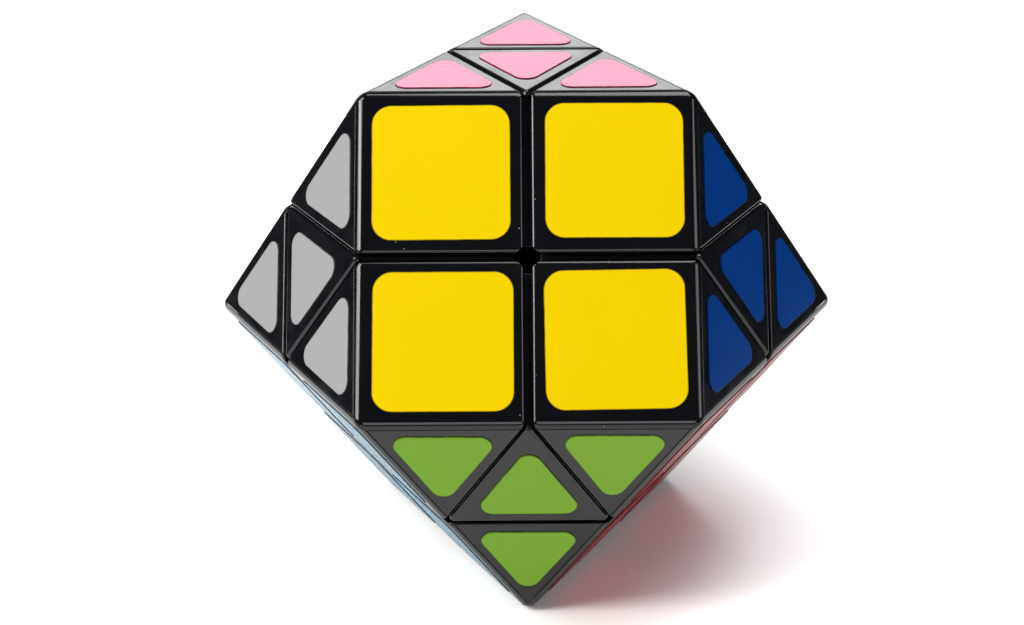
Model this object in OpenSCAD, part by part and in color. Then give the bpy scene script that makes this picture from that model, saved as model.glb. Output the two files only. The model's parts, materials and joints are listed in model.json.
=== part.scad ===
// Cuboctahedral twisty puzzle. Eight layers turn, one under each triangular face.
//
// The origin is the centre of the puzzle, which rests on a triangular face with another one on top.
// Directions are given as cube directions: a square face lies on each cube axis, a triangular face on
// each cube diagonal, and a corner piece between two cube axes. to_row() turns one into X, Y, Z.

/* [Size] */
// Distance between two opposite square faces
across_squares = 65; // [62:0.5:68]
// Total gap between a layer and the rest of the puzzle, measured along the layer's axis
layer_gap = 0.4; // [0.3:0.05:0.5]

/* [Shells] */
// Wall of the corner tubes and of the centre housings
wall = 1.6; // [1.4:0.1:1.8]
// Thickness of the plate of every cap
cap_plate = 0.6; // [0.5:0.1:1]
// Depth of the plug that holds a cap in its shell
plug_depth = 2.2; // [1.5:0.1:2.5]
// Flat across each blunted corner of a centre piece, measured towards the square face
corner_trim = 0.8; // [0.6:0.1:1]

/* [Stickers] */
// Thickness of a sticker
sticker_thickness = 0.15; // [0.1:0.05:0.2]
// Distance from the edge of a tile to its sticker
sticker_margin = 2; // [1.6:0.1:2.2]
// Corner radius of a square sticker
square_corner = 2.7; // [1.5:0.1:3]
// Corner radius of a triangular sticker
triangle_corner = 1.8; // [1:0.1:2.8]

/* [Mechanism] */
// Inner radius of the spherical shell that the feet run in
foot_inner = 17.5; // [17.3:0.1:17.6]
// Outer radius of the feet
foot_outer = 20.8; // [20.4:0.1:20.9]
// Half angle of the cone that bounds a foot, about each of its two layer axes
foot_angle = 52; // [50:0.5:53]
// Radius of the stalk under a centre piece
stalk_radius = 4.9; // [4.6:0.1:5]
// Radius of an arm of the core
arm_radius = 3.6; // [3.2:0.1:3.8]
// Distance from the centre to the end of an arm
arm_end = 16.8; // [16.5:0.1:16.8]
// Radius of the ball in the middle of the core
ball_radius = 9; // [8.5:0.1:10]

/* [Screw, spring and washer] */
// Radius of the screw's shank
shank_radius = 1.25; // [1.2:0.05:1.3]
// Radius of the screw's head
head_radius = 2.6; // [2.4:0.1:2.8]
// Height of the screw's head
head_height = 2; // [1.6:0.1:2.2]
// Radius of the well that holds the spring
well_radius = 3.6; // [3.5:0.1:3.7]
// Height of the well's floor above the centre of the puzzle
well_floor = 20; // [19.8:0.1:20.2]
// Length of the spring as fitted
spring_length = 8; // [7.5:0.1:8.2]
// Mean radius of the spring's coils
coil_radius = 2.6; // [2.5:0.1:2.7]
// Diameter of the spring's wire
wire = 0.6; // [0.5:0.05:0.7]
// Turns of the spring, with one closed turn at each end
coil_turns = 6; // [5:1:7]

/* [Colours] */
// Colour of the moulded shells
shell_colour = "#141518"; // [#141518:black, #2a2b30:charcoal]
// Colour of the core
core_colour = "#e8e6df"; // [#e8e6df:natural white, #30343a:dark grey]
// Colour of the screws and washers
steel_colour = "#b9bcc2"; // [#b9bcc2:bright, #8b8f96:dull]
// Colour of the springs
spring_colour = "#8d9096"; // [#8d9096:steel, #c9a24a:brass]

/* [Hidden] */
$fn = 48;
half = across_squares / 2;
tile_edge = half / sqrt(2);             // edge of a square or triangular tile
face_height = across_squares / sqrt(3); // centre to a triangular face
cut_height = face_height / 2;           // centre to the flat part of a layer's cut
clearance = layer_gap / 2;              // share of the gap taken by each side of a cut
reach = 2 * across_squares;             // longer than anything in the puzzle
seam = 0.05;                            // glue line between a cap and its shell
running_fit = 0.1;                      // radial clearance of the screw in the stalk
foot_gap = 0.3;                         // between the feet and the centre housings that cover them
housing_inner = foot_outer + foot_gap;  // inner radius of the spherical underside of a centre housing
stalk_end = arm_end + seam;
housing_trim = 2.2;                     // how far the housing's ridges stay below the square faces
washer_thickness = 0.5;
washer_overhang = 0.6;                  // how far the washer reaches past the screw's head
washer_base = well_floor + spring_length;
head_base = washer_base + washer_thickness;
screw_tip = ball_radius;
screw_room = 0.5;                       // left free below the screw's tip
axis_lean = acos(1 / 3);                // angle between neighbouring layer axes
vertex_lean = axis_lean / 2;            // angle between a corner piece and each of its layer axes
tile_inradius = tile_edge / (2 * sqrt(3));
recess_inradius = tile_inradius - clearance - wall;
recess_floor = face_height - cap_plate - plug_depth - 2 * seam;
coring_floor = 24;                      // floor of the three hollows beside the well
coring_tube = well_radius + wall;
closed_pitch = wire + 0.012;            // rise of a closed turn of the spring

// Every triangular face: name, cube direction, colour
FACES = [
    ["centre_top", [1, 1, 1], "#f7b8d6"],
    ["centre_bottom", [-1, -1, -1], "#f4f4f0"],
    ["centre_front_low", [1, -1, -1], "#7db33c"],
    ["centre_right_back_low", [-1, 1, -1], "#e8641b"],
    ["centre_left_back_low", [-1, -1, 1], "#7a4fa3"],
    ["centre_back_high", [-1, 1, 1], "#f2a7a0"],
    ["centre_left_high", [1, -1, 1], "#b9b8b7"],
    ["centre_right_high", [1, 1, -1], "#0a3c7d"]
];

// Every square face: cube direction, colour
SQUARES = [
    [[1, 0, 0], "#f7d700"],
    [[-1, 0, 0], "#1f8a4c"],
    [[0, 1, 0], "#5b3a24"],
    [[0, -1, 0], "#4fb3dc"],
    [[0, 0, 1], "#17807e"],
    [[0, 0, -1], "#c8202c"]
];

// Every corner piece: name, cube direction
CORNERS = [
    ["corner_top_front_left", [1, 0, 1]],
    ["corner_top_front_right", [1, 1, 0]],
    ["corner_top_back", [0, 1, 1]],
    ["corner_middle_front_left", [1, -1, 0]],
    ["corner_middle_front_right", [1, 0, -1]],
    ["corner_middle_left", [0, -1, 1]],
    ["corner_middle_right", [0, 1, -1]],
    ["corner_middle_back_left", [-1, 0, 1]],
    ["corner_middle_back_right", [-1, 1, 0]],
    ["corner_bottom_front", [0, -1, -1]],
    ["corner_bottom_back_left", [-1, -1, 0]],
    ["corner_bottom_back_right", [-1, 0, -1]]
];

// ---- directions ----

// Cube direction to X, Y, Z, as a unit vector: the cube diagonal [1, 1, 1] points up
// and the square face on [1, 0, 0] looks forward, towards -Y
function to_row(p) = unit([
    (p[1] - p[2]) / sqrt(2),
    (p[1] + p[2] - 2 * p[0]) / sqrt(6),
    (p[0] + p[1] + p[2]) / sqrt(3)
]);

function unit(v) = v / norm(v);

// The corner piece that lies on the edge between a face's first two cube directions
function first_corner(face) = [face[0], face[1], 0];

// The cube axis along which a corner piece's cube direction is zero
function free_axis(corner) = [for (k = corner) 1 - abs(k)];

// Stand children, drawn along +Z, on a cube direction, with their +X turned towards another
module stand_on(direction, towards) {
    z = to_row(direction);
    y = unit(cross(z, to_row(towards)));
    x = cross(y, z);
    multmatrix([
        [x[0], y[0], z[0], 0],
        [x[1], y[1], z[1], 0],
        [x[2], y[2], z[2], 0],
        [0, 0, 0, 1]
    ]) children();
}

// The frame of a centre piece: +Z is its axis and +X leans to one of its three corner pieces
module on_face(face) {
    stand_on(face, first_corner(face)) children();
}

// The frame of a corner piece: +Z is its vertex, X the ridge between its two triangular faces
module on_corner(corner) {
    stand_on(corner, cross(corner, free_axis(corner))) children();
}

// The same children on all eight layer axes
module on_every_face() {
    for (face = FACES) {
        on_face(face[1]) children();
    }
}

// In a corner piece's frame: children drawn along +Z, on each of its two layer axes
module on_layer_axis(side) {
    rotate([side * vertex_lean, 0, 0]) children();
}

// ---- shared shapes ----

// Everything beyond a layer's cut, up to a height and out to a radius: a 45 degree cone that
// opens into a plane, moved along its axis by shift
module layer(shift, top, radius) {
    rotate_extrude()
        polygon([
            [0, shift],
            [cut_height, cut_height + shift],
            [radius, cut_height + shift],
            [radius, top],
            [0, top]
        ]);
}

// Everything on the inner side of a layer's cut, moved along its axis by shift
module under_layer(shift) {
    rotate_extrude()
        polygon([
            [0, shift],
            [cut_height, cut_height + shift],
            [reach, cut_height + shift],
            [reach, -reach],
            [0, -reach]
        ]);
}

// The outline of a corner tube, cut square to its length, with its four sides moved in
module rhombus(inset) {
    low = (cut_height + clearance + inset) / cos(vertex_lean);
    high = (face_height - inset) / cos(vertex_lean);
    side = (high - low) / 2 / tan(vertex_lean);
    polygon([[0, low], [side, (low + high) / 2], [0, high], [-side, (low + high) / 2]]);
}

// The corner tube's outline drawn along X, with Z up
module rhombic_bar(inset) {
    rotate([90, 0, 90])
        linear_extrude(reach, center = true) rhombus(inset);
}

// Everything between two planes parallel to the square face on the +X side of a corner piece
module square_slice(from, to) {
    rotate([0, 45, 0])
        translate([-reach / 2, -reach / 2, from])
            cube([reach, reach, to - from]);
}

// Everything on the +X side of a plane across a corner piece
module right_half(from) {
    translate([from, -reach / 2, 0]) cube([reach, reach, reach]);
}

// An equilateral triangle with one side facing +X
module triangle(inradius) {
    circle(r = 2 * inradius, $fn = 3);
}

// A regular polygon with rounded corners, its first corner on +X
module rounded_polygon(sides, corner_distance, radius) {
    inner = corner_distance - radius / sin(90 - 180 / sides);
    offset_edge = radius * cos(180 / sides);
    along = radius * sin(180 / sides);
    polygon([
        for (k = [0 : sides - 1], way = [-1, 1])
            let (turn = k * 360 / sides)
                [
                    inner * cos(turn) + offset_edge * cos(turn) - way * along * sin(turn),
                    inner * sin(turn) + offset_edge * sin(turn) + way * along * cos(turn)
                ]
    ]);
    for (k = [0 : sides - 1]) {
        rotate(k * 360 / sides)
            translate([inner, 0]) circle(r = radius);
    }
}

module triangular_sticker() {
    linear_extrude(sticker_thickness)
        rounded_polygon(3, 2 * (tile_inradius - sticker_margin), triangle_corner);
}

module square_sticker() {
    linear_extrude(sticker_thickness)
        rounded_polygon(4, (tile_edge - 2 * sticker_margin) / sqrt(2), square_corner);
}

// ---- core, screws, springs and washers ----

module core() {
    color(core_colour)
        difference() {
            union() {
                sphere(r = ball_radius);
                on_every_face() cylinder(r = arm_radius, h = arm_end);
            }
            on_every_face()
                translate([0, 0, screw_tip - screw_room])
                    cylinder(r = shank_radius + seam, h = arm_end);
        }
}

// One pan-head screw with a cross recess
module screw() {
    slot_width = 0.7;
    slot_length = 3;
    slot_depth = 1.1;
    neck = 0.2;            // of the shank, inside the head
    shoulder = 0.85;       // the head narrows to this share at this share of its height
    flat = 0.5;            // share of the head's radius that is flat, and of its height that is straight
    difference() {
        union() {
            translate([0, 0, screw_tip]) cylinder(r = shank_radius, h = head_base - screw_tip + neck);
            translate([0, 0, head_base])
                rotate_extrude()
                    polygon([
                        [0, 0],
                        [head_radius, 0],
                        [head_radius, head_height * flat],
                        [head_radius * shoulder, head_height * shoulder],
                        [head_radius * flat, head_height],
                        [0, head_height]
                    ]);
        }
        for (turn = [0, 90]) {
            rotate(turn)
                translate([-slot_length / 2, -slot_width / 2, head_base + head_height - slot_depth])
                    cube([slot_length, slot_width, head_height]);
        }
    }
}

module screws() {
    color(steel_colour) on_every_face() screw();
}

module washers() {
    color(steel_colour)
        on_every_face()
            translate([0, 0, washer_base])
                difference() {
                    cylinder(r = head_radius + washer_overhang, h = washer_thickness);
                    cylinder(r = shank_radius + 2 * running_fit, h = reach, center = true);
                }
}

// Height of the wire's centre after some turns: one closed turn, the open ones, one closed turn
function coil_height(turns) =
    let (open_turns = coil_turns - 2, open_pitch = (spring_length - wire - 2 * closed_pitch) / open_turns)
    wire / 2 + closed_pitch * min(turns, 1) + open_pitch * max(0, min(turns - 1, open_turns))
        + closed_pitch * max(0, turns - 1 - open_turns);

// A helical compression spring standing on z = 0
module spring() {
    steps_a_turn = 8;
    steps = steps_a_turn * coil_turns;
    sides = 4;
    rings = [
        for (k = [0 : steps])
            let (turns = k / steps_a_turn, at = turns * 360, z = coil_height(turns))
                [
                    for (s = [0 : sides - 1])
                        let (around = s * 360 / sides, r = coil_radius + wire / 2 * cos(around))
                            [r * cos(at), r * sin(at), z + wire / 2 * sin(around)]
                ]
    ];
    points = [for (ring = rings, p = ring) p];
    tube = [
        for (k = [0 : steps - 1], s = [0 : sides - 1])
            let (a = k * sides + s, b = k * sides + (s + 1) % sides)
                [a, b, b + sides, a + sides]
    ];
    ends = [[3, 2, 1, 0], [for (s = [0 : sides - 1]) steps * sides + s]];
    polyhedron(points = points, faces = concat(tube, ends), convexity = 10);
}

module springs() {
    color(spring_colour)
        on_every_face()
            translate([0, 0, well_floor]) spring();
}

// ---- centre pieces ----

// The solid of a centre piece: what its layer holds under the three neighbouring layers
module centre_block(top) {
    intersection() {
        layer(clearance, top, half);
        under_neighbour(0);
        under_neighbour(120);
        under_neighbour(240);
    }
}

module under_neighbour(turn) {
    rotate([0, 0, turn])
        rotate([0, axis_lean, 0])
            under_layer(-clearance);
}

// Cuts the ridges of a centre piece back to planes parallel to the square faces
module ridge_limit(below) {
    lean = acos(1 / sqrt(3));
    for (turn = [60, 180, 300]) {
        rotate([0, 0, turn])
            rotate([0, lean, 0])
                translate([-reach / 2, -reach / 2, half - below])
                    cube(reach);
    }
}

module centre_housing() {
    difference() {
        union() {
            difference() {
                centre_block(face_height - cap_plate - seam);
                sphere(r = housing_inner);
                ridge_limit(housing_trim);
            }
            translate([0, 0, stalk_end]) cylinder(r = stalk_radius, h = coring_floor - stalk_end);
        }
        // screw hole and spring well
        cylinder(r = shank_radius + running_fit, h = face_height);
        translate([0, 0, well_floor]) cylinder(r = well_radius, h = face_height);
        // recess for the cap's plug
        translate([0, 0, recess_floor]) linear_extrude(face_height) rotate(180) triangle(recess_inradius);
        // three hollows beside the well
        translate([0, 0, coring_floor])
            difference() {
                linear_extrude(face_height) rotate(180) triangle(recess_inradius);
                cylinder(r = coring_tube, h = reach);
            }
    }
}

module centre_cap() {
    intersection() {
        difference() {
            centre_block(face_height);
            ridge_limit(corner_trim);
        }
        translate([0, 0, face_height - cap_plate]) cylinder(r = across_squares, h = cap_plate);
    }
    translate([0, 0, face_height - cap_plate - plug_depth])
        linear_extrude(plug_depth)
            rotate(180) triangle(recess_inradius - seam);
}

module centre_piece(face) {
    color(shell_colour)
        on_face(face) {
            centre_housing();
            centre_cap();
        }
}

module centre_sticker(face, colour) {
    color(colour)
        on_face(face)
            translate([0, 0, face_height])
                rotate(180) triangular_sticker();
}

// ---- corner pieces ----

// A corner tube with its neck and the foot that runs under the two neighbouring centre pieces
module corner_body(corner) {
    color(shell_colour)
        on_corner(corner)
            difference() {
                union() {
                    corner_block();
                    foot();
                }
                sphere(r = foot_inner);
                rhombic_bar(wall);
            }
}

// What the two layers of a corner piece share, cut back under its caps
module corner_block() {
    apex = sqrt(2) * (half - cap_plate - seam);
    intersection() {
        on_layer_axis(-1) layer(clearance, face_height, reach);
        on_layer_axis(1) layer(clearance, face_height, reach);
        rotate([90, 0, 0])
            linear_extrude(reach, center = true)
                polygon([[0, apex], [apex, 0], [-apex, 0]]);
    }
}

module foot() {
    width = foot_outer * tan(foot_angle);
    intersection() {
        on_layer_axis(-1) cylinder(r1 = 0, r2 = width, h = foot_outer);
        on_layer_axis(1) cylinder(r1 = 0, r2 = width, h = foot_outer);
        sphere(r = foot_outer);
    }
}

// The two square plates that close a corner tube, each with a plug
module corner_caps(corner) {
    color(shell_colour)
        on_corner(corner)
            for (turn = [0, 180]) {
                rotate(turn) corner_cap();
            }
}

module corner_cap() {
    plate_base = half - cap_plate;
    intersection() {
        rhombic_bar(0);
        square_slice(plate_base, half);
        right_half(seam);
    }
    intersection() {
        rhombic_bar(wall + seam);
        square_slice(plate_base - plug_depth, plate_base);
        right_half(wall);
    }
}

// Two square and two triangular stickers, each in the colour of its face
module corner_stickers(corner) {
    for (square = SQUARES) {
        if (square[0] * corner > 0) {
            color(square[1])
                stand_on(square[0], corner)
                    translate([tile_edge / sqrt(2), 0, half]) square_sticker();
        }
    }
    for (face = FACES) {
        if (face[1] * corner > 1) {
            color(face[2])
                stand_on(face[1], corner)
                    translate([2 * tile_inradius, 0, face_height]) triangular_sticker();
        }
    }
}

// ---- assembly ----

core();
screws();
springs();
washers();
for (face = FACES) {
    centre_piece(face[1]);
    centre_sticker(face[1], face[2]);
}
for (corner = CORNERS) {
    corner_body(corner[1]);
    corner_caps(corner[1]);
    corner_stickers(corner[1]);
}
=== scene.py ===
"""Cuboctahedral twisty puzzle: gloss black shells, vinyl stickers, sprung centres, white studio.

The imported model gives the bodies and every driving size. Shells and stickers are modelled here in
millimetres, each in a frame of its own, then set on the puzzle's directions. A direction is written
as a cube direction: square faces lie on the cube's axes, triangular faces on its diagonals and
corner pieces between two axes.
"""
import json
import math
import random

import bmesh
import bpy
from mathutils import Matrix, Vector


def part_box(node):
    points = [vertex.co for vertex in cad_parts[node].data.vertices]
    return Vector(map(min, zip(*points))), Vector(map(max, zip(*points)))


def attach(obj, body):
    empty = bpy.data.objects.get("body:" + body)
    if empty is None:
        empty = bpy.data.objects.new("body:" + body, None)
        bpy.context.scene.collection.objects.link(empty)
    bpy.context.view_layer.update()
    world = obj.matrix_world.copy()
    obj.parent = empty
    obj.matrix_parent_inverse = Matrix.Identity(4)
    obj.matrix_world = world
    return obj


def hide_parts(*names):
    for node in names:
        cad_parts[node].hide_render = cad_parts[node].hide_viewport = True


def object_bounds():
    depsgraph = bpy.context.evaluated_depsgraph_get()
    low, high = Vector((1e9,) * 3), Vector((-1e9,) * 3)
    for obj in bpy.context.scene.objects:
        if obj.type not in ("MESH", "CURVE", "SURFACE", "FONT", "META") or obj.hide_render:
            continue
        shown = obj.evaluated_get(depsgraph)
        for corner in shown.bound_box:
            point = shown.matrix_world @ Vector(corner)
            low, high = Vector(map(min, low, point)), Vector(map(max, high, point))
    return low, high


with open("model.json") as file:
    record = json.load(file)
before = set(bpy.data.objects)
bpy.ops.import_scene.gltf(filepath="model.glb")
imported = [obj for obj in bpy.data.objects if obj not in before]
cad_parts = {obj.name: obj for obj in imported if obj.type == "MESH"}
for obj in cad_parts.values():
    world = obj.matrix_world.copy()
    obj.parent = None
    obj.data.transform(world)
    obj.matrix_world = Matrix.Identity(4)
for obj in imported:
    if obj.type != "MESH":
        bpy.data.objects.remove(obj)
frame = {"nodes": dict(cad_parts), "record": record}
cad_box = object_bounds()

MM = 0.001

# ---------------------------------------------------------------- sizes, in millimetres

sticker_low, sticker_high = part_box("centre_top_sticker")
FACE_HEIGHT = sticker_low.z / MM                    # centre to a triangular face
STICKER_THICKNESS = (sticker_high.z - sticker_low.z) / MM
HALF = FACE_HEIGHT * math.sqrt(3) / 2               # centre to a square face
CUT_HEIGHT = FACE_HEIGHT / 2                        # centre to the flat part of a cut
TILE_EDGE = HALF / math.sqrt(2)
TILE_INRADIUS = TILE_EDGE / (2 * math.sqrt(3))      # of a triangular tile
CLEARANCE = 0.2                                     # of each side of a cut
REACH = 3 * HALF                                    # longer than any piece
CAP_PLATE = 0.6                                     # thickness of a cap's plate
SEAM = 0.11                                         # between a cap and the piece that it closes
WALL = 1.6                                          # of a corner tube, and beside a cap's plug
PLUG_DEPTH = 2.2                                    # how far a cap reaches into its piece
PLUG_SLACK = 0.2                                    # free space below a centre cap's plug
OUTER_ROUND = 1.6                                   # between a square and a triangular face
GAP_ROUND = 0.45                                    # along the gaps between layers
CENTRE_ROUND = 1.0                                  # of a centre piece's cap
HOUSING_ROUND = 0.25                                # of the sharp edges of a centre's housing
RIDGE_ROUND = 1.6                                   # of the ridge inside a corner tube's angle
CENTRE_CORNER_TRIM = 0.8                            # cut off each corner of a centre's cap
STICKER_MARGIN = 2.0                                # from a sticker's edge to its tile's edge
SQUARE_CORNER = 2.7                                 # radius of a square sticker's corners
TRIANGLE_CORNER = 1.8                               # the same, of a triangular sticker
NEAR = 0.01                                         # two heights closer than this are the same
SAME_POINT = 1e-4                                   # CAD vertices closer than this are joined
SAME_PLANE = 1e-5                                   # a vertex this close to a cut lies on it

# ---------------------------------------------------------------- the puzzle's layout

FACES = {
    "centre_top": ((1, 1, 1), "pink"),
    "centre_bottom": ((-1, -1, -1), "white"),
    "centre_front_low": ((1, -1, -1), "green"),
    "centre_right_back_low": ((-1, 1, -1), "orange"),
    "centre_left_back_low": ((-1, -1, 1), "purple"),
    "centre_back_high": ((-1, 1, 1), "salmon"),
    "centre_left_high": ((1, -1, 1), "grey"),
    "centre_right_high": ((1, 1, -1), "dark_blue"),
}
SQUARES = {
    "yellow": (1, 0, 0),
    "dark_green": (-1, 0, 0),
    "brown": (0, 1, 0),
    "light_blue": (0, -1, 0),
    "teal": (0, 0, 1),
    "red": (0, 0, -1),
}
CORNERS = {
    "corner_top_front_left": (1, 0, 1),
    "corner_top_front_right": (1, 1, 0),
    "corner_top_back": (0, 1, 1),
    "corner_middle_front_left": (1, -1, 0),
    "corner_middle_front_right": (1, 0, -1),
    "corner_middle_left": (0, -1, 1),
    "corner_middle_right": (0, 1, -1),
    "corner_middle_back_left": (-1, 0, 1),
    "corner_middle_back_right": (-1, 1, 0),
    "corner_bottom_front": (0, -1, -1),
    "corner_bottom_back_left": (-1, -1, 0),
    "corner_bottom_back_right": (-1, 0, -1),
}


def to_row(cube_direction):
    """Cube direction to a unit vector in X, Y, Z: the diagonal (1, 1, 1) points up."""
    a, b, c = cube_direction
    return Vector(
        ((b - c) / math.sqrt(2), (b + c - 2 * a) / math.sqrt(6), (a + b + c) / math.sqrt(3))
    ).normalized()


def stand_on(cube_direction, towards):
    """The matrix that puts a local +Z on a cube direction, with +X leaning to another one."""
    z = to_row(cube_direction)
    y = z.cross(to_row(towards)).normalized()
    x = y.cross(z)
    return Matrix((x, y, z)).transposed().to_4x4()


def dot(p, q):
    return sum(a * b for a, b in zip(p, q))


def leaning(lean, degrees):
    """A unit vector that leans away from +Z by an angle and is turned about Z by some degrees."""
    turn = math.radians(degrees)
    return Vector(
        (math.sin(lean) * math.cos(turn), math.sin(lean) * math.sin(turn), math.cos(lean))
    )


def corner_frame(corner):
    """A corner piece's own frame: +Z is its vertex, X runs along its tube."""
    free_axis = Vector([1 - abs(k) for k in corner])
    return stand_on(corner, Vector(corner).cross(free_axis))


def face_frame(face):
    """A centre piece's own frame: +Z is its axis, +X leans to one of its corner pieces."""
    return stand_on(face, (face[0], face[1], 0))


# ---------------------------------------------------------------- mesh tools


def half_space_solid(planes):
    """The closed solid inside a list of planes, each (outward normal, distance)."""
    bm = bmesh.new()
    bmesh.ops.create_cube(bm, size=2 * REACH)
    for normal, distance in planes:
        cut(bm, normal, distance)
    return bm


def cut(bm, normal, distance):
    """Cut off everything beyond a plane and close the hole."""
    normal = Vector(normal).normalized()
    found = bmesh.ops.bisect_plane(
        bm,
        geom=bm.verts[:] + bm.edges[:] + bm.faces[:],
        dist=SAME_PLANE,
        plane_co=normal * distance,
        plane_no=normal,
        clear_outer=True,
    )
    rim_shade = [g for g in found["geom_cut"] if isinstance(g, bmesh.types.BMEdge)]
    if rim_shade:
        bmesh.ops.contextual_create(bm, geom=rim_shade)
    bmesh.ops.recalc_face_normals(bm, faces=bm.faces[:])


def link(obj):
    """Put an object into the scene."""
    bpy.context.scene.collection.objects.link(obj)
    return obj


def plain_object(bm):
    """A working object for a modifier."""
    mesh = bpy.data.meshes.new("working")
    bm.to_mesh(mesh)
    return link(bpy.data.objects.new("working", mesh))


def applied(obj):
    """The object's mesh with its modifiers applied, as a bmesh; the object is removed."""
    mesh = bpy.data.meshes.new_from_object(obj.evaluated_get(bpy.context.evaluated_depsgraph_get()))
    bm = bmesh.new()
    bm.from_mesh(mesh)
    bpy.data.objects.remove(obj)
    bpy.data.meshes.remove(mesh)
    return bm


def boolean(first, second, operation):
    """Two solids joined (UNION), subtracted (DIFFERENCE) or overlapped (INTERSECT)."""
    obj, tool = plain_object(first), plain_object(second)
    modifier = obj.modifiers.new("boolean", "BOOLEAN")
    modifier.operation = operation
    modifier.solver = "EXACT"
    modifier.object = tool
    bm = applied(obj)
    bpy.data.objects.remove(tool)
    return bm


def fillet(bm, radius_of, segments=4):
    """The same solid with each edge rounded to the radius that radius_of(edge) gives."""
    weight = bm.edges.layers.float.new("bevel_weight_edge")
    setbacks = {e: radius_of(e) * math.tan(e.calc_face_angle(0) / 2) for e in bm.edges}
    widest = max(setbacks.values())
    for edge, setback in setbacks.items():
        edge[weight] = setback / widest
    obj = plain_object(bm)
    bevel = obj.modifiers.new("bevel", "BEVEL")
    bevel.limit_method = "WEIGHT"
    bevel.width = widest
    bevel.segments = segments
    return applied(obj)


def softened(bm, voxel, passes):
    """The same solid with every edge rounded by about a voxel, by remeshing and smoothing."""
    obj = plain_object(bm)
    remesh = obj.modifiers.new("remesh", "REMESH")
    remesh.mode = "VOXEL"
    remesh.voxel_size = voxel
    smooth = obj.modifiers.new("smooth", "SMOOTH")
    smooth.iterations = passes
    return applied(obj)


def cad_solid(node, matrix, keep):
    """One solid of a CAD node, in millimetres in a piece's own frame: the one that keep() picks."""
    bm = bmesh.new()
    bm.from_mesh(frame["nodes"][node].data)
    bmesh.ops.transform(bm, matrix=matrix.inverted() @ Matrix.Scale(1 / MM, 4), verts=bm.verts)
    bmesh.ops.remove_doubles(bm, verts=bm.verts, dist=SAME_POINT)
    left = set(bm.verts)
    while left:
        island = {left.pop()}
        edge = list(island)
        while edge:
            edge = [e.other_vert(v) for v in edge for e in v.link_edges if e.other_vert(v) in left]
            edge = list(dict.fromkeys(edge))
            island.update(edge)
            left.difference_update(edge)
        if not keep(island):
            bmesh.ops.delete(bm, geom=list(island), context="VERTS")
            left &= set(bm.verts)
    return bm


def weigh_normals(mesh, smooth_angle):
    """Corner normals weighed by face area: a fillet shades round while the flat beside it stays flat."""
    limit = math.cos(math.radians(smooth_angle))
    faces = [(polygon.normal.copy(), polygon.area / MM ** 2) for polygon in mesh.polygons]
    around = [[] for _ in mesh.vertices]
    for polygon, face in zip(mesh.polygons, faces):
        for vertex in polygon.vertices:
            around[vertex].append(face)
    normals = []
    for polygon, (facing, _) in zip(mesh.polygons, faces):
        for vertex in polygon.vertices:
            total = Vector()
            for normal, area in around[vertex]:
                if normal.dot(facing) > limit:
                    total += normal * area
            normals.append(total.normalized())
    mesh.normals_split_custom_set(normals)


def new_object(name, bm, matrix, smooth_angle=32):
    """A piece from a mesh in millimetres, moved by a matrix and scaled to metres."""
    mesh = bpy.data.meshes.new(name)
    bm.to_mesh(mesh)
    mesh.transform(Matrix.Scale(MM, 4) @ matrix)
    mesh.shade_smooth()
    mesh.set_sharp_from_angle(angle=math.radians(smooth_angle))
    weigh_normals(mesh, smooth_angle)
    return link(bpy.data.objects.new(name, mesh))


def add_piece(name, bm, matrix, body, node, slot, smooth_angle=32):
    """A piece in place, riding on its body and standing for a CAD node."""
    obj = new_object(name, bm, matrix, smooth_angle)
    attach(obj, body)
    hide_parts(node)
    obj.data.materials.append(MATERIALS[slot])
    return obj


# ---------------------------------------------------------------- materials


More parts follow.
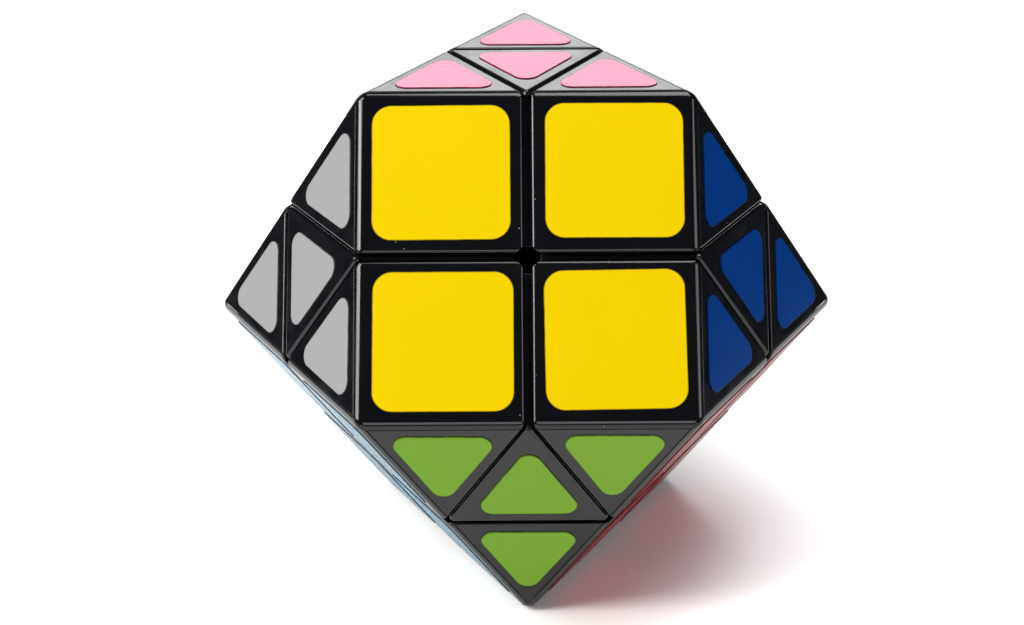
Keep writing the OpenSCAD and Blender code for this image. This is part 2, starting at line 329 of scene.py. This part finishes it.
class Nodes:
    """A short way to write the nodes of a material or world: each call adds one and links it."""

    def __init__(self, owner):
        owner.use_nodes = True
        self.tree = owner.node_tree
        self.tree.nodes.clear()

    def add(self, kind, inputs=None, **settings):
        node = self.tree.nodes.new(kind)
        for key, value in settings.items():
            setattr(node, key, value)
        for key, value in (inputs or {}).items():
            if isinstance(value, bpy.types.NodeSocket):
                self.tree.links.new(value, node.inputs[key])
            else:
                node.inputs[key].default_value = value
        return node

    def place(self):
        """Where a point lies on the resting puzzle, in metres."""
        return self.add("ShaderNodeTexCoord").outputs["Object"]

    def noise(self, scale, detail, stretch=(1, 1, 1)):
        """Noise with about this many waves a metre, squeezed along some axes for streaks."""
        mapping = self.add("ShaderNodeMapping", {"Vector": self.place(), "Scale": stretch})
        noise = self.add(
            "ShaderNodeTexNoise", {"Vector": mapping.outputs[0], "Scale": scale, "Detail": detail}
        )
        return noise.outputs["Fac"]

    def ramp(self, value, low, high, to_low=0.0, to_high=1.0):
        """A smooth step from to_low to to_high while the value goes from low to high."""
        inputs = {"Value": value, 1: low, 2: high, 3: to_low, 4: to_high}
        return self.add("ShaderNodeMapRange", inputs, interpolation_type="SMOOTHSTEP").outputs[0]

    def math(self, operation, first, second):
        return self.add("ShaderNodeMath", {0: first, 1: second}, operation=operation).outputs[0]

    def mix(self, factor, first, second):
        node = self.add("ShaderNodeMix", data_type="RGBA")
        for index, value in ((0, factor), (6, first), (7, second)):
            if isinstance(value, bpy.types.NodeSocket):
                self.tree.links.new(value, node.inputs[index])
            else:
                node.inputs[index].default_value = value
        return node.outputs[2]

    def bump(self, height, distance, normal=None):
        """A bumpy normal, as if the surface rose by a distance in metres where height is 1."""
        inputs = {"Height": height, "Distance": distance, "Strength": 1.0}
        if normal is not None:
            inputs["Normal"] = normal
        return self.add("ShaderNodeBump", inputs).outputs[0]

    def finish(self, **inputs):
        """The shader and the output; an input's name has _ for each space."""
        named = {key.replace("_", " "): value for key, value in inputs.items()}
        shader = self.add("ShaderNodeBsdfPrincipled", named)
        self.add("ShaderNodeOutputMaterial", {"Surface": shader.outputs[0]})

    def over_exposed(self, colour, exposure, mirrored):
        """A matt surface, shown brighter to the camera and in reflections than the light it gives."""
        path = self.add("ShaderNodeLightPath").outputs
        to_camera = self.math("MULTIPLY", path["Is Camera Ray"], exposure - 1)
        to_gloss = self.math("MULTIPLY", path["Is Glossy Ray"], mirrored - 1)
        gain = self.math("ADD", self.math("ADD", to_camera, to_gloss), 1.0)
        bright = self.add("ShaderNodeVectorMath", {0: colour, "Scale": gain}, operation="SCALE")
        seen = self.add("ShaderNodeBsdfDiffuse", {"Color": bright.outputs[0]})
        self.add("ShaderNodeOutputMaterial", {"Surface": seen.outputs[0]})


def rgba(colour):
    """A colour with its alpha."""
    return (*colour, 1.0)


def scaled(colour, factor):
    """A colour made lighter or darker."""
    return tuple(min(1.0, c * factor) for c in colour)


def shell_material(name, colour):
    """Gloss black moulded plastic: orange peel, hairline scratches, worn edges and dust."""
    material = bpy.data.materials.new(name)
    n = Nodes(material)
    rounded = n.add("ShaderNodeBevel", {"Radius": 0.12 * MM}, samples=4).outputs[0]
    peel = n.noise(700, 3)
    patches = n.noise(45, 4)
    scratches = n.ramp(n.noise(160, 3, (1, 14, 3)), 0.64, 0.7)
    cross_scratches = n.ramp(n.noise(140, 3, (12, 1, 5)), 0.66, 0.72)
    marks = n.math("MAXIMUM", scratches, cross_scratches)
    worn = n.ramp(n.add("ShaderNodeNewGeometry").outputs["Pointiness"], 0.52, 0.6)
    worn = n.math("MULTIPLY", worn, n.ramp(n.noise(220, 4), 0.35, 0.65))
    cells = n.add("ShaderNodeTexVoronoi", {"Vector": n.place(), "Scale": 900.0})
    speck = n.ramp(cells.outputs["Distance"], 0.05, 0.11, 1.0, 0.0)
    chosen = n.ramp(n.add("ShaderNodeSeparateColor", {0: cells.outputs["Color"]}).outputs[0], 0.95, 0.96)
    dust = n.math("MULTIPLY", speck, chosen)
    base = n.mix(n.math("MULTIPLY", worn, 0.5), rgba(colour), rgba(scaled(colour, 4)))
    base = n.mix(dust, base, (0.3, 0.29, 0.27, 1))
    roughness = n.ramp(patches, 0.3, 0.7, 0.09, 0.14)
    roughness = n.math("ADD", roughness, n.math("MULTIPLY", marks, 0.03))
    roughness = n.math("ADD", roughness, n.math("MULTIPLY", worn, 0.1))
    normal = n.bump(peel, 0.002 * MM, rounded)
    normal = n.bump(n.math("MULTIPLY", marks, -1.0), 0.0006 * MM, normal)
    n.finish(Base_Color=base, Roughness=roughness, Normal=normal, IOR=1.5)
    return material


def sticker_material(name, colour):
    """Printed vinyl: a faint mottle, a satin face, and painted shade: a darker line along the edge,
    where it turns down.
    """
    material = bpy.data.materials.new(name)
    n = Nodes(material)
    mottle = n.ramp(n.noise(60, 2), 0.3, 0.7)
    grain = n.noise(2600, 2)
    base = n.mix(mottle, rgba(scaled(colour, 0.993)), rgba(scaled(colour, 1.004)))
    # painted shade along the sticker's edge: the colour is darkened there in place of the edge's own
    # shadow
    rim_shade = n.add("ShaderNodeAttribute", attribute_name="rim_shade").outputs["Fac"]
    rim_shade = n.math("MULTIPLY", rim_shade, n.ramp(n.noise(600, 3), 0.3, 0.7, 0.7, 0.95))
    base = n.mix(rim_shade, base, rgba(scaled(colour, 0.12)))
    scuffs = n.ramp(n.noise(130, 3, (1, 9, 2)), 0.6, 0.72)
    roughness = n.math("ADD", n.ramp(mottle, 0.0, 1.0, 0.25, 0.28), n.math("MULTIPLY", scuffs, 0.012))
    normal = n.bump(grain, 0.001 * MM)
    normal = n.bump(n.noise(60, 1), 0.008 * MM, normal)
    n.finish(Base_Color=base, Roughness=roughness, Normal=normal, Specular_IOR_Level=0.18)
    return material


def core_material(name, colour):
    """Natural white moulded plastic, slightly translucent, with smears of clear grease."""
    material = bpy.data.materials.new(name)
    n = Nodes(material)
    rounded = n.add("ShaderNodeBevel", {"Radius": 0.25 * MM}, samples=4).outputs[0]
    grease = n.ramp(n.noise(120, 4), 0.5, 0.68)
    base = n.mix(n.ramp(n.noise(60, 4), 0.3, 0.7), rgba(colour), rgba(scaled(colour, 0.9)))
    base = n.mix(n.math("MULTIPLY", grease, 0.35), base, (0.5, 0.47, 0.38, 1))
    roughness = n.ramp(grease, 0.0, 1.0, 0.5, 0.28)
    normal = n.bump(n.noise(1500, 3), 0.01 * MM, rounded)
    n.finish(Base_Color=base, Roughness=roughness, Normal=normal, Subsurface_Weight=0.05)
    return material


def steel_material(name, colour, roughness_low, roughness_high):
    """Plated steel with drawing marks and dull patches."""
    material = bpy.data.materials.new(name)
    n = Nodes(material)
    rounded = n.add("ShaderNodeBevel", {"Radius": 0.08 * MM}, samples=4).outputs[0]
    marks = n.noise(900, 3, (1, 1, 6))
    patches = n.ramp(n.noise(200, 4), 0.35, 0.7)
    base = n.mix(patches, rgba(colour), rgba(scaled(colour, 0.72)))
    roughness = n.ramp(patches, 0.0, 1.0, roughness_low, roughness_high)
    normal = n.bump(marks, 0.006 * MM, rounded)
    n.finish(Base_Color=base, Roughness=roughness, Normal=normal, Metallic=1.0)
    return material


SHELL_DARKENING = 0.3                               # of the record's own colour for the shells
STEEL_ROUGHNESS = (0.2, 0.34)                       # where it is clean, and in the dull patches
SPRING_ROUGHNESS = (0.28, 0.42)
# the vinyls that the camera sees best, tuned to this light; the others keep the record's colours
PRINTED_COLOURS = {
    "sticker_yellow": (0.86, 0.61, 0.0),
    "sticker_pink": (0.95, 0.2, 0.345),
    "sticker_grey": (0.4, 0.402, 0.405),
    "sticker_dark_blue": (0.0, 0.065, 0.36),
    "sticker_green": (0.39, 0.78, 0.06),
    "sticker_light_blue": (0.22, 0.48, 0.66),
}


def make_materials():
    """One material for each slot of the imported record."""
    made = {}
    for entry in frame["record"]["materials"]:
        slot, colour = entry["slot"], tuple(entry["base_color"][:3])
        if slot == "shell":
            made[slot] = shell_material(slot, scaled(colour, SHELL_DARKENING))
        elif slot == "core_plastic":
            made[slot] = core_material(slot, colour)
        elif slot == "steel":
            made[slot] = steel_material(slot, colour, *STEEL_ROUGHNESS)
        elif slot == "spring_steel":
            made[slot] = steel_material(slot, colour, *SPRING_ROUGHNESS)
        else:
            made[slot] = sticker_material(slot, PRINTED_COLOURS.get(slot, colour))
    return made


MATERIALS = make_materials()

# ---------------------------------------------------------------- corner pieces

SLANT = 1 / math.sqrt(2)
SQUARE_NORMALS = ((SLANT, 0, SLANT), (-SLANT, 0, SLANT))
LAYER_NORMALS = ((0, 1 / math.sqrt(3), math.sqrt(2 / 3)), (0, -1 / math.sqrt(3), math.sqrt(2 / 3)))
NECK_RADIUS = 25.0                                  # the CAD foot and neck are kept inside this
FOOT_VOXEL = 0.3                                    # rounding of the foot's edges
FOOT_PASSES = 4


def bar_planes(inset):
    """The four long sides of a corner tube, moved in."""
    planes = [(n, FACE_HEIGHT - inset) for n in LAYER_NORMALS]
    planes += [(-Vector(n), -(CUT_HEIGHT + CLEARANCE + inset)) for n in LAYER_NORMALS]
    return planes


def rounded_corner_block():
    """The whole outside of a corner piece, tube and caps in one, with its edges rounded."""
    bm = half_space_solid([(n, HALF) for n in SQUARE_NORMALS] + bar_planes(0))
    low = min(v.co.z for v in bm.verts)

    def radius(edge):
        if all(v.co.z < low + NEAR for v in edge.verts):
            return RIDGE_ROUND
        beside_gap = any(f.normal.z < 0 for f in edge.link_faces)
        return GAP_ROUND if beside_gap else OUTER_ROUND

    bm.normal_update()
    return fillet(bm, radius)


def foot_and_neck(name, matrix):
    """The CAD corner piece's foot and neck, with softened edges."""
    bm = cad_solid(name, matrix, lambda island: True)
    ball = bmesh.new()
    bmesh.ops.create_icosphere(ball, subdivisions=5, radius=NECK_RADIUS)
    return softened(boolean(bm, ball, "INTERSECT"), FOOT_VOXEL, FOOT_PASSES)


def corner_shell(lower):
    """A hollow corner tube, open at both ends, with its foot and neck."""
    bm = rounded_corner_block()
    for normal in SQUARE_NORMALS:
        cut(bm, normal, HALF - CAP_PLATE - SEAM)
    bm = boolean(bm, lower, "UNION")
    return boolean(bm, half_space_solid(bar_planes(WALL)), "DIFFERENCE")


def corner_cap(side):
    """One of a corner piece's two square caps, with the plug that goes into the tube."""
    normal = Vector(SQUARE_NORMALS[side])
    outwards = math.copysign(1, normal.x)
    plate = rounded_corner_block()
    cut(plate, -normal, -(HALF - CAP_PLATE))
    cut(plate, (-outwards, 0, 0), -SEAM / 2)
    sides = [(normal, HALF - CAP_PLATE / 2), (-normal, -(HALF - CAP_PLATE - PLUG_DEPTH))]
    plug = half_space_solid(bar_planes(WALL + SEAM) + sides + [((-outwards, 0, 0), -WALL)])
    return boolean(plate, plug, "UNION")


def build_corners():
    """The twelve corner pieces: a tube with its foot, and two caps each."""
    lower = None
    for name, corner in CORNERS.items():
        matrix = corner_frame(corner)
        lower = lower or foot_and_neck(name, matrix)
        add_piece(name + "_tube", corner_shell(lower.copy()), matrix, name, name, "shell")
        for side, square_normal in enumerate(SQUARE_NORMALS):
            normal = matrix.to_3x3() @ Vector(square_normal)
            colour = max(SQUARES, key=lambda key: to_row(SQUARES[key]).dot(normal))
            cap_name = f"{name}_cap_{colour}"
            add_piece(cap_name, corner_cap(side), matrix, name, name + "_caps", "shell")


# ---------------------------------------------------------------- centre pieces

THIRDS = (0, 120, 240)                              # degrees round a centre piece's axis
SHARP_EDGE = 0.6                                    # radians between an edge's two faces
CUT_DEPTH = 6                                       # below this the cap's solid is cut away


def neighbour_normals():
    """The axes of the three neighbouring layers, in a centre piece's own frame."""
    return [leaning(math.acos(1 / 3), turn) for turn in THIRDS]


def nearby_squares():
    """The axes of the three square faces round a centre piece, in its own frame."""
    return [leaning(math.acos(1 / math.sqrt(3)), turn + 60) for turn in THIRDS]


def centre_cap():
    """The triangular cap of a centre piece, with the plug that goes into its housing."""
    planes = [((0, 0, 1), FACE_HEIGHT), ((0, 0, -1), -(FACE_HEIGHT - CUT_DEPTH))]
    planes += [(n, CUT_HEIGHT - CLEARANCE) for n in neighbour_normals()]
    planes += [(n, HALF - CENTRE_CORNER_TRIM) for n in nearby_squares()]
    bm = fillet(half_space_solid(planes), lambda edge: CENTRE_ROUND)
    cut(bm, (0, 0, -1), -(FACE_HEIGHT - CAP_PLATE))
    recess = TILE_INRADIUS - CLEARANCE - WALL - SEAM
    top = FACE_HEIGHT - CAP_PLATE
    planes = [((0, 0, 1), top + CAP_PLATE / 2), ((0, 0, -1), -(top - PLUG_DEPTH))]
    for turn in THIRDS:
        a = math.radians(turn)
        planes.append(((math.cos(a), math.sin(a), 0), recess))
    return boolean(bm, half_space_solid(planes), "UNION")


def housing_radius(edge):
    """Only the sharp edges of a housing are rounded, not the facets of its round parts."""
    return HOUSING_ROUND if edge.calc_face_angle(0) > SHARP_EDGE else 0


def build_centres():
    """The eight centre pieces: the CAD housing with rounded edges, and a new cap."""
    cap_base = FACE_HEIGHT - CAP_PLATE - PLUG_DEPTH - PLUG_SLACK
    for name, (face, _) in FACES.items():
        matrix = face_frame(face)
        housing = cad_solid(name, matrix, lambda island: min(v.co.z for v in island) < cap_base)
        bmesh.ops.dissolve_limit(
            housing, angle_limit=math.radians(1), verts=housing.verts, edges=housing.edges
        )
        housing = fillet(housing, housing_radius, segments=2)
        add_piece(name + "_housing", housing, matrix, name, name, "shell")
        add_piece(name + "_cap", centre_cap(), matrix, name, name, "shell")


# ---------------------------------------------------------------- stickers

STICKER_EDGE = 0.05                                 # rounding of a sticker's upper edge
STICKER_RIM_SHADE = 0.16                                  # width of the painted shade line inside its edge
STICKER_SIZES = (0.99, 1.005)                       # how unevenly the stickers are cut
ARC_STEPS = 12                                      # along one rounded corner
LAYING_SHIFT = 0.12                                 # how far off a sticker is laid, at most
LAYING_TURN = 0.7                                   # the same, in degrees
STICKER_SEED = 12


def sticker(sides, corner_distance, corner_radius, rng):
    """A thin plate with a regular, round-cornered outline, its first corner on +X."""
    step = 2 * math.pi / sides
    centre_distance = corner_distance - corner_radius / math.sin((math.pi - step) / 2)
    centre_distance *= rng.uniform(*STICKER_SIZES)

    def outline(inset, height):
        points = []
        for corner in range(sides):
            middle = Vector((math.cos(corner * step), math.sin(corner * step))) * centre_distance
            for k in range(ARC_STEPS + 1):
                angle = corner * step + step * (k / ARC_STEPS - 0.5)
                radius = corner_radius - inset
                edge = middle + Vector((math.cos(angle), math.sin(angle))) * radius
                points.append((edge.x, edge.y, height))
        return points

    top = STICKER_THICKNESS
    half_way = STICKER_EDGE * 0.3
    # the second value of each ring marks painted shade: 1 darkens the side and the rounded edge, 0 is
    # the plain colour inside the line
    rings = [
        (outline(0, 0), 1.0),
        (outline(0, top - STICKER_EDGE), 1.0),
        (outline(half_way, top - half_way), 1.0),
        (outline(STICKER_EDGE, top), 1.0),
        (outline(STICKER_RIM_SHADE, top), 0.0),
    ]
    bm = bmesh.new()
    rim_shade = bm.verts.layers.float.new("rim_shade")
    loops = []
    for points, darkness in rings:
        loops.append([bm.verts.new(p) for p in points])
        for vert in loops[-1]:
            vert[rim_shade] = darkness
    for lower, upper in zip(loops, loops[1:]):
        for k, vert in enumerate(lower):
            following = (k + 1) % len(lower)
            bm.faces.new((vert, lower[following], upper[following], upper[k]))
    bm.faces.new(loops[-1])
    bm.faces.new(loops[0][::-1])
    return bm


# how far each yellow sticker lies from its tile's middle: out along the diagonal, then across it
YELLOW_AIMS = {
    "corner_top_front_left": (0.4, 0.0),
    "corner_top_front_right": (0.5, 0.0),
    "corner_middle_front_left": (0.0, 0.0),
    "corner_middle_front_right": (0.2, 0.2),
}


def hand_placed(rng, aim=(0, 0)):
    """A hand-laid sticker's small shift and turn, in its own plane, about where it was aimed."""
    along = aim[0] + rng.uniform(-LAYING_SHIFT, LAYING_SHIFT)
    across = aim[1] + rng.uniform(-LAYING_SHIFT, LAYING_SHIFT)
    turn = math.radians(rng.uniform(-LAYING_TURN, LAYING_TURN))
    return Matrix.Translation((along, across, 0)) @ Matrix.Rotation(turn, 4, "Z")


def build_stickers():
    """All 56 stickers: one on each centre piece, two squares and two triangles on each corner."""
    rng = random.Random(STICKER_SEED)
    square_reach = (TILE_EDGE - 2 * STICKER_MARGIN) / math.sqrt(2)
    triangle_reach = 2 * (TILE_INRADIUS - STICKER_MARGIN)
    half_turn = Matrix.Rotation(math.pi, 4, "Z")
    up = Matrix.Translation((0, 0, FACE_HEIGHT))
    for name, (face, colour) in FACES.items():
        matrix = face_frame(face) @ up @ half_turn @ hand_placed(rng)
        bm = sticker(3, triangle_reach, TRIANGLE_CORNER, rng)
        add_piece(f"{name}_sticker_{colour}", bm, matrix, name, name + "_sticker", "sticker_" + colour)
    for name, corner in CORNERS.items():
        for colour, square in SQUARES.items():
            if dot(square, corner) > 0:
                at = Matrix.Translation((TILE_EDGE / math.sqrt(2), 0, HALF))
                aim = YELLOW_AIMS.get(name, (0, 0)) if colour == "yellow" else (0, 0)
                matrix = stand_on(square, corner) @ at @ hand_placed(rng, aim)
                bm = sticker(4, square_reach, SQUARE_CORNER, rng)
                piece = f"{name}_sticker_{colour}"
                add_piece(piece, bm, matrix, name, name + "_stickers", "sticker_" + colour)
        for face, colour in FACES.values():
            if dot(face, corner) > 1:
                at = Matrix.Translation((2 * TILE_INRADIUS, 0, FACE_HEIGHT))
                matrix = stand_on(face, corner) @ at @ hand_placed(rng)
                bm = sticker(3, triangle_reach, TRIANGLE_CORNER, rng)
                piece = f"{name}_sticker_{colour}"
                add_piece(piece, bm, matrix, name, name + "_stickers", "sticker_" + colour)


# ---------------------------------------------------------------- core, screws, springs, washers

SPRING_BASE = 20.0                                  # floor of the well under a spring
SPRING_LENGTH = 8.0
COIL_RADIUS = 2.6                                   # to the middle of the wire
WIRE = 0.6                                          # its diameter
CLOSED_PITCH = WIRE * 1.02                          # of the first and the last turn
COIL_TURNS = 6
COIL_STEPS = 20                                     # along one turn
WIRE_SIDES = 8
SPRING_SMOOTH = 50                                  # degrees; the wire has few sides


def coil_height(turns):
    """Height of the wire's centre: one closed turn, the open ones, one closed turn."""
    open_turns = COIL_TURNS - 2
    pitch = (SPRING_LENGTH - WIRE - 2 * CLOSED_PITCH) / open_turns
    height = WIRE / 2 + CLOSED_PITCH * min(turns, 1) + pitch * max(0, min(turns - 1, open_turns))
    return height + CLOSED_PITCH * max(0, turns - COIL_TURNS + 1)


def spring():
    """A round-wire compression spring, its end coils closed."""
    bm = bmesh.new()
    rings = []
    for k in range(COIL_STEPS * COIL_TURNS + 1):
        turns = k / COIL_STEPS
        angle = turns * 2 * math.pi
        out = Vector((math.cos(angle), math.sin(angle), 0))
        middle = out * COIL_RADIUS + Vector((0, 0, SPRING_BASE + coil_height(turns)))
        ring = []
        for s in range(WIRE_SIDES):
            a = s * 2 * math.pi / WIRE_SIDES
            around = out * math.cos(a) + Vector((0, 0, math.sin(a)))
            ring.append(bm.verts.new(middle + around * WIRE / 2))
        rings.append(ring)
    for lower, upper in zip(rings, rings[1:]):
        for s, vert in enumerate(lower):
            following = (s + 1) % WIRE_SIDES
            bm.faces.new((vert, lower[following], upper[following], upper[s]))
    bm.faces.new(rings[0][::-1])
    bm.faces.new(rings[-1])
    bmesh.ops.recalc_face_normals(bm, faces=bm.faces[:])
    return bm


def build_mechanism():
    """New springs; the core, screws and washers keep their CAD meshes and get materials."""
    for name, (face, _) in FACES.items():
        piece = name.replace("centre", "spring")
        matrix = face_frame(face)
        add_piece(piece, spring(), matrix, "core", "springs", "spring_steel", SPRING_SMOOTH)
    for node, slot in (("core", "core_plastic"), ("screws", "steel"), ("washers", "steel")):
        materials = frame["nodes"][node].data.materials
        materials.clear()
        materials.append(MATERIALS[slot])


# ---------------------------------------------------------------- floor, light and camera

FLOOR_RADIUS = 0.2                                  # metres
FLOOR_SIDES = 96
FLOOR_ALBEDO = 0.3                                  # low, so that little colour bounces off it
FLOOR_UNEVEN = 0.01                                 # how much its albedo varies
FLOOR_EXPOSURE = 5.4                                # how much brighter the picture shows the floor
FLOOR_MIRRORED = 3.6                                # the same, for the floor seen in the gloss shells


def build_floor():
    """A pale table top that the puzzle stands on; beyond its edge the studio gives little light."""
    bm = bmesh.new()
    bmesh.ops.create_circle(bm, cap_ends=True, segments=FLOOR_SIDES, radius=FLOOR_RADIUS)
    mesh = bpy.data.meshes.new("floor")
    bm.to_mesh(mesh)
    floor = link(bpy.data.objects.new("floor", mesh))
    floor.location.z = cad_box[0].z
    material = bpy.data.materials.new("floor")
    n = Nodes(material)
    dark, light = ((albedo,) * 3 for albedo in (FLOOR_ALBEDO - FLOOR_UNEVEN, FLOOR_ALBEDO))
    paper = n.mix(n.noise(30, 3), rgba(dark), rgba(light))
    n.over_exposed(paper, FLOOR_EXPOSURE, FLOOR_MIRRORED)
    mesh.materials.append(material)


WHITE = (1, 1, 1)
STUDIO_DUSK = (0.65, 0.8, 1)
# where from, how far in metres, width and height in metres, how bright it looks, colour
LIGHTS = {
    "backdrop_light": ((0, 0.87, 0.43), 0.9, (0.46, 0.32), 2.8, WHITE),
    "low_backdrop_light": ((0, 1, 0), 0.9, (0.6, 0.25), 2.6, WHITE),
    "top_light": ((0.22, 0.1, 1), 0.9, (0.55, 0.5), 5.2, WHITE),
    "left_light": ((-0.74, -0.26, 0.88), 0.8, (0.45, 0.45), 7.0, (1, 0.985, 0.97)),
    "left_strip_light": ((-0.81, -0.37, 0.46), 0.8, (0.3, 0.32), 9.0, (1, 0.96, 0.91)),
    "right_light": ((0.83, -0.4, 0.47), 0.9, (0.28, 0.35), 3.0, (1, 0.95, 0.93)),
    "front_light": ((0.1, -0.97, 0.12), 0.8, (0.5, 0.25), 2.6, WHITE),
}


def softbox(name, direction, distance, size, radiance, colour):
    """A soft light that faces the puzzle from a direction; the camera doesn't see it."""
    light = bpy.data.lights.new(name, "AREA")
    light.shape = "RECTANGLE"
    light.size, light.size_y = size
    light.energy = radiance * math.pi * size[0] * size[1]
    light.color = colour
    obj = link(bpy.data.objects.new(name, light))
    away = Vector(direction).normalized()
    obj.location = away * distance
    obj.rotation_mode = "QUATERNION"
    obj.rotation_quaternion = away.to_track_quat("Z", "Y")
    obj.visible_camera = False


def build_light():
    """The seven softboxes, and a studio that the camera sees white but that gives little light."""
    for name, (direction, distance, size, radiance, colour) in LIGHTS.items():
        softbox(name, direction, distance, size, radiance, colour)
    world = bpy.data.worlds.new("studio")
    bpy.context.scene.world = world
    n = Nodes(world)
    path = n.add("ShaderNodeLightPath")
    seen = n.add("ShaderNodeBackground", {"Color": rgba(WHITE), "Strength": 1.0})
    lit = n.add("ShaderNodeBackground", {"Color": rgba(STUDIO_DUSK), "Strength": 0.05})
    mixed = n.add(
        "ShaderNodeMixShader", {0: path.outputs["Is Camera Ray"], 1: lit.outputs[0], 2: seen.outputs[0]}
    )
    n.add("ShaderNodeOutputWorld", {"Surface": mixed.outputs[0]})
    bpy.context.scene.view_settings.view_transform = "Standard"


CAMERA_DISTANCE = 0.3075                            # metres from the puzzle's middle
CAMERA_ELEVATION = 24.68                            # degrees above the horizon
CAMERA_AZIMUTH = 0.02                               # degrees to the right of straight ahead
CAMERA_ROLL = -0.35                                 # degrees
CAMERA_LENS = 71.85
CAMERA_SENSOR = 36
CAMERA_SHIFT = (2.15, 1.58)                         # of the puzzle in the picture, right and up


def build_camera():
    """The camera at the photograph's angle; back points from the puzzle to it."""
    back = leaning(math.radians(90 - CAMERA_ELEVATION), CAMERA_AZIMUTH - 90)
    data = bpy.data.cameras.new("camera")
    data.sensor_width = CAMERA_SENSOR
    data.lens = CAMERA_LENS
    data.clip_start = 0.01
    camera = link(bpy.data.objects.new("camera", data))
    turn = (-back).to_track_quat("-Z", "Y").to_matrix() @ Matrix.Rotation(
        math.radians(CAMERA_ROLL), 3, "Z"
    )
    shift = turn @ Vector((CAMERA_SHIFT[0], CAMERA_SHIFT[1], 0)) * MM
    camera.rotation_mode = "QUATERNION"
    camera.rotation_quaternion = turn.to_quaternion()
    camera.location = back * CAMERA_DISTANCE - shift
    bpy.context.scene.camera = camera


build_corners()
build_centres()
build_stickers()
build_mechanism()
build_floor()
build_light()
build_camera()
